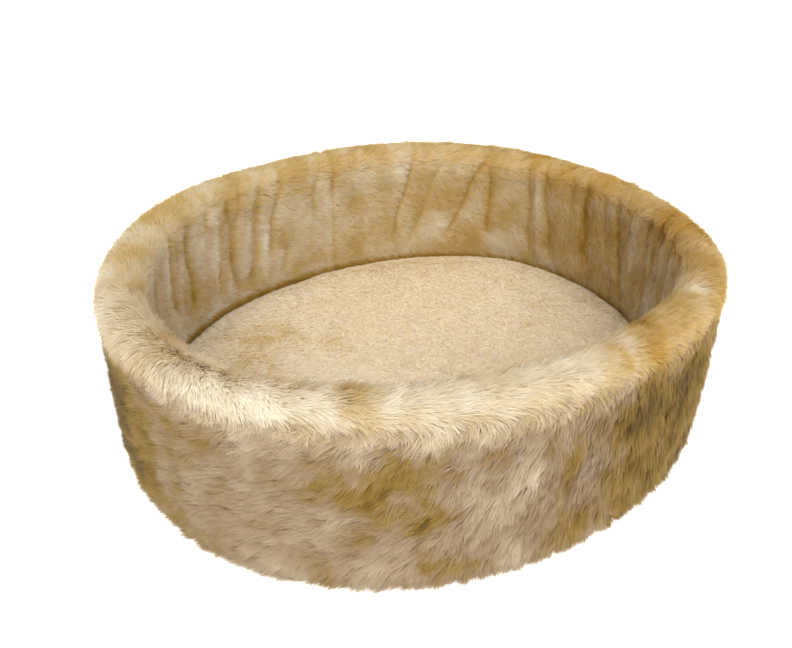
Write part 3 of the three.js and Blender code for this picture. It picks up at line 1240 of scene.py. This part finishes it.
def finish_piece(
    piece: bpy.types.Object, replaces: str = ""
) -> None:
    """Declares a piece to the frame and reports it.

    Args:
        piece: The piece.
        replaces: The solid that it stands for, if any.
    """
    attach(piece, BODY)
    if replaces:
        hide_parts(replaces)
    piece.data.calc_loop_triangles()
    log.info("%s: %d triangles", piece.name, len(piece.data.loop_triangles))


@dataclass
class Wall:
    """The padded wall: one closed cover with all its gathers, and its long pile."""

    form: BedForm
    section: Section
    stations: int = 640
    pile_stations: int = 960
    outer_length: float = 14.0
    rim_length: float = 13.0
    inner_length: float = 9.0
    root_lean: float = 52.0  # degrees from upright
    tip_lean: float = 79.0
    crease_shade: float = 0.05  # painted shade for each millimetre that a gather is deep, and painted light on its ridges
    seam_tone: float = 0.18
    drift_tone: float = 0.07
    join_shade_height: float = 36.0  # below it the inner pile is painted darker, as painted shade in the join with the cushion
    fringe_height: float = 26.0
    fringe_cut: float = 0.24  # share by which the fringe at the foot is shorter
    fringe_spikes: float = 0.4  # share by which its spikes differ
    outer_cut: PileCut = PileCut(
        density=108.0, width=1.15, scatter=9.0, swirl=70.0, swirl_size=26.0,
        tuft_size=9.0, tuft_pull=0.3, tuft_turn=22.0, ragged=0.28,
        mottle=0.2, softness=0.98,
    )
    rim_cut: PileCut = PileCut(
        density=176.0, width=1.25, scatter=11.0, swirl=46.0, swirl_size=28.0,
        tuft_size=9.0, tuft_pull=0.14, tuft_turn=16.0, ragged=0.15,
        mottle=0.06, softness=1.0,
    )
    inner_cut: PileCut = PileCut(
        density=84.0, width=1.4, scatter=8.0, swirl=34.0, swirl_size=22.0,
        tuft_size=7.0, tuft_pull=0.14, tuft_turn=12.0, ragged=0.12,
        mottle=0.12, softness=0.97,
    )

    def __post_init__(self) -> None:
        """Cuts the same section finer, for what the pile reads."""
        self.fine = Section(self.form, outer_steps=42, arc_steps=11, inner_steps=36)

    def grid(
        self, turn: np.ndarray, section: Section
    ) -> tuple[np.ndarray, np.ndarray, np.ndarray, np.ndarray]:
        """Lays the cover out.

        Args:
            turn: Angles round the bed.
            section: The cross section, at the pace that is wanted.

        Returns:
            The points, and for each the way it faces, the way round the bed and the way on
            along the section against its order, which is outwards over the rim and down.
        """
        points = self.form.wall_points(turn, section)
        around = unit(np.roll(points, -1, axis=0) - np.roll(points, 1, axis=0))
        along = unit(np.roll(points, -1, axis=1) - np.roll(points, 1, axis=1))
        facing = unit(np.cross(around, along))
        return points, facing, around, -along

    @staticmethod
    def turns(count: int) -> np.ndarray:
        """Returns so many angles round the bed."""
        return np.linspace(-math.pi, math.pi, count, endpoint=False)

    def cover(self, material: bpy.types.Material) -> bpy.types.Object:
        """Makes the closed cover as one piece."""
        points, *_ = self.grid(self.turns(self.stations), self.section)
        rounds, runs = points.shape[:2]
        first = np.arange(rounds * runs).reshape(rounds, runs)
        other = np.roll(first, -1, axis=0)
        faces = np.stack(
            [first, other, np.roll(other, -1, axis=1), np.roll(first, -1, axis=1)], axis=-1
        ).reshape(-1, 4)
        mesh = new_mesh("wall_cover", points.reshape(-1, 3), faces.tolist())
        mesh.materials.append(material)
        return new_object("wall_cover", mesh)

    @staticmethod
    def blend(reach: np.ndarray, keys: list) -> np.ndarray:
        """Runs from one set of values round the bed to the next along the section.

        Args:
            reach: Ways along the section, in millimetres.
            keys: A way along the section and the values that each turn has there.

        Returns:
            The values, turns by reaches and on.
        """
        spots = np.array([key[0] for key in keys], float)
        values = np.stack([key[1] for key in keys])
        after = np.clip(np.searchsorted(spots, reach, side="right"), 1, len(keys) - 1)
        before = after - 1
        share = np.clip((reach - spots[before]) / (spots[after] - spots[before]), 0.0, 1.0)
        share = share.reshape((1, -1) + (1,) * (values.ndim - 2))
        low = np.swapaxes(values[before], 0, 1)
        high = np.swapaxes(values[after], 0, 1)
        return low * (1.0 - share) + high * share

    def lay_of(self, turn: np.ndarray, reach: np.ndarray) -> np.ndarray:
        """Finds how the pile is brushed: its share outwards or down, and its share round.

        Args:
            turn: Angles round the bed.
            reach: Ways along the section.

        Returns:
            Two shares for each point.
        """
        fine = self.fine
        rows = (
            (0.0, FRINGE_LAY, 1.0),
            (12.0, FRINGE_LAY, 1.0),
            (34.0, OUTER_LAY, 1.0),
            (fine.shoulder - 12.0, OUTER_LAY, 1.0),
            (fine.shoulder + 8.0, RIM_LAY, 1.0),
            (fine.inner_shoulder - 8.0, RIM_LAY, 1.0),
            (fine.inner_shoulder + 6.0, INNER_LAY, -1.0),
            (fine.well, INNER_LAY, -1.0),
        )
        keys = []
        for spot, table, sense in rows:
            angle = np.radians(round_table(table, turn))
            keys.append((spot, np.stack([sense * np.cos(angle), np.sin(angle)], axis=-1)))
        return self.blend(reach, keys)

    def tone_of(self, turn: np.ndarray, reach: np.ndarray) -> np.ndarray:
        """Finds how far the plush is brushed up, apart from its patches and gathers."""
        fine = self.fine
        rows = (
            (0.0, FRINGE_TONE),
            (14.0, FRINGE_TONE),
            (36.0, OUTER_TONE),
            (fine.shoulder - 36.0, OUTER_TONE),
            (fine.shoulder - 10.0, SHOULDER_TONE),
            (fine.shoulder + 12.0, RIM_TONE),
            (fine.inner_shoulder - 12.0, RIM_TONE),
            (fine.inner_shoulder + 4.0, INNER_TONE),
            (fine.well, INNER_TONE),
        )
        keys = [(spot, round_table(table, turn)) for spot, table in rows]
        return self.blend(reach, keys)

    def brushed(self, turn: np.ndarray, points: np.ndarray) -> tuple[np.ndarray, np.ndarray]:
        """Finds what the brushed and pressed patches change. Their edges are ragged.

        Args:
            turn: Angles round the bed.
            points: The points, turns by reaches.

        Returns:
            The change of tone and the turn of the pile, in radians.
        """
        fine, form = self.fine, self.form
        offset, height = fine.offset[None], fine.height[None]
        on_rim = smoothstep(height, 152.0, 166.0)
        inside = smoothstep(-offset, 16.0, 24.0)
        ragged = np.exp(0.5 * drift(points, 16.0, 21) + 0.35 * drift(points, 7.0, 22))
        tone = np.zeros(points.shape[:2])
        swing = np.zeros(points.shape[:2])
        for rows, share, spot, line in (
            (OUTER_BRUSHED, (1.0 - inside) * (1.0 - on_rim), height, 0.0),
            (RIM_BRUSHED, on_rim, offset, -form.wall_thickness / 2.0),
            (INNER_BRUSHED, inside * (1.0 - 0.7 * on_rim), height, -form.wall_thickness),
        ):
            for row in rows:
                angle = np.radians(np.float64(row.angle))
                across = form.across(turn[:, None], angle, line) / row.width
                away = across ** 2 + ((spot - row.middle) / row.height) ** 2
                weight = share * np.exp(-(away * ragged) ** 1.5)
                tone += row.tone * weight
                swing += math.radians(row.turn) * share * np.exp(-away)
        return tone, swing

    def dressed(self) -> dict[str, np.ndarray]:
        """Works out all that the pile reads, on a grid of turns by reaches."""
        fine, form = self.fine, self.form
        turn = self.turns(self.pile_stations)
        points, facing, around, outwards = self.grid(turn, fine)
        inside = fine.offset[None] < -form.wall_thickness / 2.0
        heights = fine.height[None]
        full = smoothstep(heights, form.gather_floor, form.gather_full)
        creased = np.where(inside, form.gather_depth(turn[:, None], heights, 0.6) * full, 0.0)
        seam = (form.seam_depth_at(turn) / form.seam_depth)[:, None] ** 3
        change, swing = self.brushed(turn, points)
        tone = self.tone_of(turn, fine.reach) + change
        # Painted shade: the tone is darker in the gathers' grooves, the deeper they are, and
        # lighter on their ridges
        tone = tone - self.crease_shade * np.clip(creased, -2.0, 6.0) - self.seam_tone * seam
        tone = tone + self.drift_tone * drift(points, 60.0, 23)
        above = points[..., 2] / MM
        # Painted shade: the inner pile's tone is darkened just above the cushion, where the join
        # between them lies in shade
        join = self.join_shade_height
        join_shade = (1.0 - smoothstep(above, join, join + 5.0)) * inside
        tone = tone * (1.0 - 0.7 * join_shade)
        press = np.clip(-2.0 * change + 0.05 * np.clip(creased, 0.0, 6.0), 0.0, 1.0)
        lay = self.lay_of(turn, fine.reach)
        cos, sin = np.cos(swing), np.sin(swing)
        out = lay[..., 0] * cos - lay[..., 1] * sin
        round_way = lay[..., 0] * sin + lay[..., 1] * cos
        fringe = (1.0 - smoothstep(above, 5.0, self.fringe_height)) * ~inside
        spikes = self.fringe_spikes * drift(points, 6.0, 26) - self.fringe_cut
        length = np.interp(
            fine.reach,
            [0.0, fine.shoulder, fine.shoulder + 12.0, fine.inner_shoulder - 8.0,
             fine.inner_shoulder + 14.0, fine.well],
            [self.outer_length, self.outer_length, self.rim_length, self.rim_length,
             self.inner_length, self.inner_length],
        )[None]
        length = length * (1.0 - 0.15 * press) * (1.0 - 0.5 * seam)
        raised = smoothstep(above, 140.0, 160.0)
        fluff = raised * round_table(RIM_FLUFF, turn)[:, None]
        return {
            "points": points,
            "facing": facing,
            "lit": unit(facing + raised[..., None] * [0.0, 0.0, 0.7]),
            "lay": unit(outwards * out[..., None] + around * round_way[..., None]),
            "pile_length": length * (1.0 + spikes * fringe) * MM,
            "lean_root": np.radians(self.root_lean + 12.0 * press - 12.0 * fluff),
            "lean_tip": np.radians(self.tip_lean + 4.0 * press - 4.0 * fringe - 14.0 * fluff),
            "tone": tone,
            "golden": self.blend(
                fine.reach,
                [(spot, np.full_like(turn, share)) for spot, share in (
                    (0.0, 0.0),
                    (fine.shoulder - 30.0, 0.0),
                    (fine.shoulder - 6.0, 0.25),
                    (fine.shoulder + 10.0, 0.95),
                    (fine.well, 0.95),
                )],
            ),
        }

    def field(
        self, dressed: dict[str, np.ndarray], run: slice, rounds: slice | None
    ) -> bpy.types.Mesh:
        """Makes the part of the cover that one field of pile grows from.

        Args:
            dressed: All that the pile reads.
            run: The run of the section.
            rounds: The run of stations, or None for all the way round.

        Returns:
            The mesh with all that the pile reads on its points.
        """
        if rounds is None:
            picked = np.append(np.arange(self.pile_stations), 0)
        else:
            picked = np.arange(rounds.start, rounds.stop + 1) % self.pile_stations
        parts = {title: values[picked][:, run] for title, values in dressed.items()}
        points = parts.pop("points")
        count, runs = points.shape[:2]
        first = np.arange(count * runs).reshape(count, runs)
        faces = np.stack(
            [first[:-1, :-1], first[1:, :-1], first[1:, 1:], first[:-1, 1:]], axis=-1
        ).reshape(-1, 4)
        layers = {
            title: values.reshape((count * runs,) + values.shape[2:])
            for title, values in parts.items()
        }
        return new_mesh("field", points.reshape(-1, 3), faces.tolist(), layers)

    def build(
        self, tree: PileTree, ground: bpy.types.Material, pile: bpy.types.Material
    ) -> list[bpy.types.Object]:
        """Builds the cover and its pile.

        Args:
            tree: What plants the pile.
            ground: The finish of the cover.
            pile: The finish of the strands.

        Returns:
            The pieces.
        """
        cover = self.cover(ground)
        finish_piece(cover, replaces="wall")
        fine, half, dressed = self.fine, self.pile_stations // 2, self.dressed()
        fields = (
            ("outer_pile_front", fine.outer_run, slice(0, half), self.outer_cut),
            ("outer_pile_back", fine.outer_run, slice(half, self.pile_stations),
             self.outer_cut),
            ("rim_pile", fine.rim_run, None, self.rim_cut),
            ("inner_pile", fine.inner_run, None, self.inner_cut),
        )
        pieces = [cover]
        for seed, (name, run, rounds, cut) in enumerate(fields, start=3):
            piece = tree.plant(name, self.field(dressed, run, rounds), cut, seed, pile)
            finish_piece(piece)
            pieces.append(piece)
        return pieces


@dataclass
class Cushion:
    """The loose filled cushion inside the wall, swollen by its filling, in short pile."""

    form: BedForm
    pile_height: float = 2.2
    side_gap: float = 1.2
    voxel: float = 6.0
    pressure: float = 4.0
    most_swell: float = 6.0
    foot_radius: float = 8.0
    shoulder_radius: float = 11.0
    edge_reach: float = 45.0  # how far in from its edge the filling spreads the cushion
    edge_drop: float = 9.0  # how much lower its top may be at the very edge
    spare_height: float = 1.5
    pile_from: float = 24.0  # the lowest height that pile shows at
    length: float = 6.0
    root_lean: float = 58.0  # degrees from upright
    tip_lean: float = 82.0
    cut: PileCut = PileCut(
        density=88.0, width=1.7, scatter=20.0, swirl=40.0, swirl_size=30.0,
        tuft_size=6.0, tuft_pull=0.08, tuft_turn=10.0, ragged=0.08,
        mottle=0.04, softness=1.0,
    )

    def start_mesh(self) -> bpy.types.Mesh:
        """Makes the cut shape before it is filled: rings from the underside to the crown."""
        form = self.form
        turn = np.linspace(0.0, 2.0 * math.pi, 160, endpoint=False)
        slim = self.most_swell * 0.5
        edge = -form.wall_thickness - form.cushion_gap - self.side_gap - slim
        top = form.cushion_edge - self.pile_height - slim * 0.6
        arc = np.linspace(0.0, math.pi / 2.0, 6)
        low = np.linspace(0.0, math.pi / 2.0, 5)
        radius, upper = self.foot_radius, self.shoulder_radius
        rings = [(edge + radius * (math.sin(a) - 1.0), 0.6 + radius * (1.0 - math.cos(a)))
                 for a in low]
        rings += [(edge + form.cushion_roll * (math.cos(a) - 1.0),
                   top - upper + upper * math.sin(a)) for a in arc]
        points = []
        for offset, height in rings:
            x, y, _ = form.plan(turn, offset, 0.0)
            points.append(np.stack([x, y, np.full_like(x, height)], axis=1))
        for share in (0.88, 0.74, 0.58, 0.4, 0.2):
            x, y, _ = form.plan(turn, edge - form.cushion_roll, 0.0)
            x, y = x * share, y * share
            z = form.cushion_top(x, y, np.float64(share)) - self.pile_height - slim * 0.6
            points.append(np.stack([x, y, z], axis=1))
        count, rounds = len(points), len(turn)
        grid = np.arange(count * rounds).reshape(count, rounds)
        beside = np.roll(grid, -1, axis=1)
        faces = np.stack(
            [grid[:-1], beside[:-1], beside[1:], grid[1:]], axis=-1
        ).reshape(-1, 4).tolist()
        faces.append(grid[0, ::-1].tolist())
        faces.append(grid[-1].tolist())
        points = np.concatenate(points)
        points[:, :2] -= form.middle
        return new_mesh("cushion_cover", points * MM, faces)

    def fill(self, piece: bpy.types.Object) -> None:
        """Swells the cushion with its filling: cloth under pressure, held by a cap.

        Args:
            piece: The cushion, which gets the simulated mesh.
        """
        remesh = piece.modifiers.new("even", "REMESH")
        remesh.mode = "VOXEL"
        remesh.voxel_size = self.voxel * MM
        remesh.use_smooth_shade = True
        self.apply(piece)
        before = points_of(piece.data)
        cloth = piece.modifiers.new("filling", "CLOTH")
        cloth.settings.use_pressure = True
        cloth.settings.uniform_pressure_force = self.pressure
        cloth.settings.effector_weights.gravity = 0.0
        cloth.point_cache.frame_start = 1
        cloth.point_cache.frame_end = 20
        for step in range(1, 21):
            bpy.context.scene.frame_set(step)
        self.apply(piece)
        bpy.context.scene.frame_set(1)
        after = points_of(piece.data)
        moved = after - before
        far = np.linalg.norm(moved, axis=1, keepdims=True)
        after = before + moved * np.minimum(1.0, self.most_swell * MM / np.maximum(far, 1e-9))
        after = self.held(after)
        piece.data.vertices.foreach_set("co", after.astype(np.float32).ravel())
        piece.data.update()
        smooth = piece.modifiers.new("smooth", "SUBSURF")
        smooth.levels = 1
        smooth.render_levels = 1
        self.apply(piece)

    def held(self, points: np.ndarray) -> np.ndarray:
        """Spreads the swollen cushion until it meets the wall, and keeps it under its pile
        and on the floor."""
        form = self.form
        flat = points[:, :2] / MM + form.middle
        ring = np.linspace(-math.pi, math.pi, 720, endpoint=False)
        edge = -form.wall_thickness - form.cushion_gap - self.side_gap
        x, y, _ = form.plan(ring, edge, 0.0)
        angle = np.arctan2(y, x)
        order = np.argsort(angle)
        reach = np.interp(
            np.arctan2(flat[:, 1], flat[:, 0]), angle[order], np.hypot(x, y)[order],
            period=2.0 * math.pi,
        )
        away = np.hypot(flat[:, 0], flat[:, 1])
        gap = reach - away
        slack = np.quantile(gap, 0.02)  # what its widest places have left
        spread = np.minimum(away + slack * (1.0 - smoothstep(gap, slack, self.edge_reach)), reach)
        flat = flat * (spread / np.maximum(away, 1e-6))[:, None]
        away = spread
        share = away / reach
        roll = smoothstep(reach - away, 0.0, form.cushion_roll * 2.0)
        top = form.cushion_top(flat[:, 0], flat[:, 1], share) - self.pile_height
        top = top + self.spare_height - self.edge_drop * (1.0 - roll) ** 2
        height = np.clip(points[:, 2] / MM, 0.3, top)
        held = np.column_stack([flat - form.middle, height])
        return held * MM

    @staticmethod
    def apply(piece: bpy.types.Object) -> None:
        """Applies the piece's modifiers."""
        depsgraph = bpy.context.evaluated_depsgraph_get()
        mesh = bpy.data.meshes.new_from_object(
            piece.evaluated_get(depsgraph), depsgraph=depsgraph
        )
        piece.modifiers.clear()
        old, piece.data = piece.data, mesh
        bpy.data.meshes.remove(old)

    def field(self, piece: bpy.types.Object) -> bpy.types.Mesh:
        """Copies the part of the cushion's cover that shows, for its pile to grow from."""
        source = piece.data
        points, facing = points_of(source), normals_of(source)
        shown = (facing[:, 2] > 0.1) & (points[:, 2] > self.pile_from * MM)
        faces = [list(face.vertices) for face in source.polygons
                 if all(shown[corner] for corner in face.vertices)]
        swing = 0.5 * np.sin(points[:, 0] * 9.0) + 0.4 * np.sin(points[:, 1] * 11.0 + 1.0)
        angle = math.radians(200.0) + swing
        lay = np.stack([np.cos(angle), np.sin(angle), np.zeros_like(angle)], axis=1)
        lay = lay - facing * (lay * facing).sum(axis=1, keepdims=True)
        count = len(points)
        flat = points[:, :2] / MM
        rubbed = sum(
            row.depth * np.exp(-((flat[:, 0] - row.x) ** 2 + (flat[:, 1] - row.y) ** 2)
                               / row.radius ** 2)
            for row in RUBBED
        )
        return new_mesh(
            "field", points, faces,
            {
                "facing": facing,
                "lit": facing,
                "lay": unit(lay),
                "pile_length": np.full(count, self.length * MM),
                "lean_root": np.full(count, math.radians(self.root_lean)),
                "lean_tip": np.full(count, math.radians(self.tip_lean)),
                "tone": 0.86 - 0.28 * rubbed * (1.0 + 0.5 * drift(points, 30.0, 24)),
                "golden": 0.08 + 1.7 * rubbed * (1.0 + 0.6 * drift(points, 26.0, 25)),
            },
        )

    def build(
        self, tree: PileTree, ground: bpy.types.Material, pile: bpy.types.Material
    ) -> list[bpy.types.Object]:
        """Builds the cushion and its pile.

        Args:
            tree: What plants the pile.
            ground: The finish of the cover.
            pile: The finish of the strands.

        Returns:
            The pieces.
        """
        cover = new_object("cushion_cover", self.start_mesh())
        self.fill(cover)
        cover.data.name = "cushion_cover"
        cover.data.materials.clear()
        cover.data.materials.append(ground)
        cover.data.polygons.foreach_set("use_smooth", np.ones(len(cover.data.polygons), bool))
        finish_piece(cover, replaces="base_cushion")
        piece = tree.plant("cushion_pile", self.field(cover), self.cut, 7, pile)
        finish_piece(piece)
        return [cover, piece]


@dataclass
class Studio:
    """A pale floor, soft light and the camera. Lengths in metres but for the camera's place."""

    form: BedForm
    eye: tuple[float, float, float] = (-500.783, -517.139, 491.775)
    forward: tuple[float, float, float] = (0.58007, 0.64002, -0.50387)
    upward: tuple[float, float, float] = (0.32530, 0.38510, 0.86364)
    lens: float = 37.303
    floor_size: float = 12.0
    ambient: float = 0.58

    def camera(self) -> None:
        """Sets up the camera that the bed's outline was fitted with."""
        data = bpy.data.cameras.new("camera")
        data.sensor_width = 36.0
        data.lens = self.lens
        data.clip_start = 0.02
        data.clip_end = 60.0
        camera = bpy.data.objects.new("camera", data)
        bpy.context.scene.collection.objects.link(camera)
        forward = Vector(self.forward).normalized()
        right = forward.cross(Vector(self.upward)).normalized()
        upward = right.cross(forward)
        turn = Matrix((right, upward, -forward)).transposed().to_4x4()
        shift = Vector((self.form.middle[0], self.form.middle[1], 0.0))
        camera.matrix_world = Matrix.Translation((Vector(self.eye) - shift) * MM) @ turn
        bpy.context.scene.camera = camera

    def floor(self) -> None:
        """Lays the plain pale floor."""
        half = self.floor_size / 2.0
        corners = np.array(
            [[-half, -half, 0.0], [half, -half, 0.0], [half, half, 0.0], [-half, half, 0.0]]
        )
        mesh = new_mesh("floor", corners, [(0, 1, 2, 3)])
        material, tree = new_material("matt_white_studio_paper")
        shader = add_node(
            tree, "ShaderNodeBsdfPrincipled",
            {
                "Base Color": linear("#F6F6F6"),
                "Roughness": 0.9,
                "Specular IOR Level": 0.1,
                "Emission Color": linear("#FFFFFF"),
                "Emission Strength": 0.35,
            },
        )
        add_node(tree, "ShaderNodeOutputMaterial", {"Surface": shader})
        mesh.materials.append(material)
        new_object("floor", mesh)

    def sun(
        self, name: str, place: tuple[float, float, float], spread: float, strength: float
    ) -> None:
        """Hangs one broad soft light, even over the whole floor.

        Args:
            name: Its name.
            place: Where it comes from, seen from the bed.
            spread: How broad it is, in degrees.
            strength: Its strength.
        """
        data = bpy.data.lights.new(name, "SUN")
        data.angle = math.radians(spread)
        data.energy = strength
        data.color = linear("#FFFFFA")[:3]
        lamp = bpy.data.objects.new(name, data)
        bpy.context.scene.collection.objects.link(lamp)
        lamp.rotation_euler = (-Vector(place)).to_track_quat("-Z", "Y").to_euler()

    def build(self) -> None:
        """Sets up the floor, the lights, the surroundings and the view."""
        self.camera()
        self.floor()
        self.sun("key", (-0.65, -1.0, 1.6), 90.0, 4.5)
        world = bpy.data.worlds.new("studio")
        world.use_nodes = True
        tree = world.node_tree
        tree.nodes.clear()
        background = add_node(
            tree, "ShaderNodeBackground", {"Color": linear("#FFFFFF"), "Strength": self.ambient}
        )
        add_node(tree, "ShaderNodeOutputWorld", {"Surface": background})
        bpy.context.scene.world = world
        bpy.context.scene.view_settings.view_transform = "Standard"


WALL_PILE = PlushPile(
    name="acrylic_plush_long_brushed_pile",
    roots=("#6A5222", "#9C7E38", "#AE987A", "#CEBEA2", "#F0E8DA"),
    tips=("#7E642E", "#B29246", "#C0AB8E", "#DED0B8", "#FCF7EE"),
    golden_roots=("#826024", "#B28A3A", "#C8AA6E", "#DCCDAC", "#F2EADA"),
    golden_tips=("#9E782A", "#CCA448", "#DCC28A", "#ECE3CE", "#FDF9EF"),
)
CUSHION_PILE = PlushPile(
    name="acrylic_plush_short_shorn_pile",
    roots=("#B8964E", "#CDB07A", "#E0CCA6", "#EDE1C8", "#F6EFE0"),
    tips=("#BE9A50", "#D8BC80", "#E8D6B4", "#F2E8D4", "#FBF6EB"),
    golden_roots=("#A8823A", "#BE9C54", "#D0B47A", "#E0CA98", "#F0E2C0"),
    golden_tips=("#B08A3C", "#CAA75E", "#DCC086", "#ECD8AA", "#F8ECCE"),
    tip_roughness=0.85,
)
WALL_GROUND = PlushGround("acrylic_plush_knitted_ground_tan", "#AC8844", "#CEAE74")
CUSHION_GROUND = PlushGround("acrylic_plush_knitted_ground_cream", "#DCC8A0", "#ECDCC0")


def main() -> None:
    """Builds the bed and its studio."""
    form = BedForm()
    Studio(form).build()
    tree = PileTree()
    wall = Wall(form, Section(form))
    wall.build(tree, WALL_GROUND.material(), WALL_PILE.material())
    Cushion(form).build(tree, CUSHION_GROUND.material(), CUSHION_PILE.material())


if __name__ == "__main__":
    main()
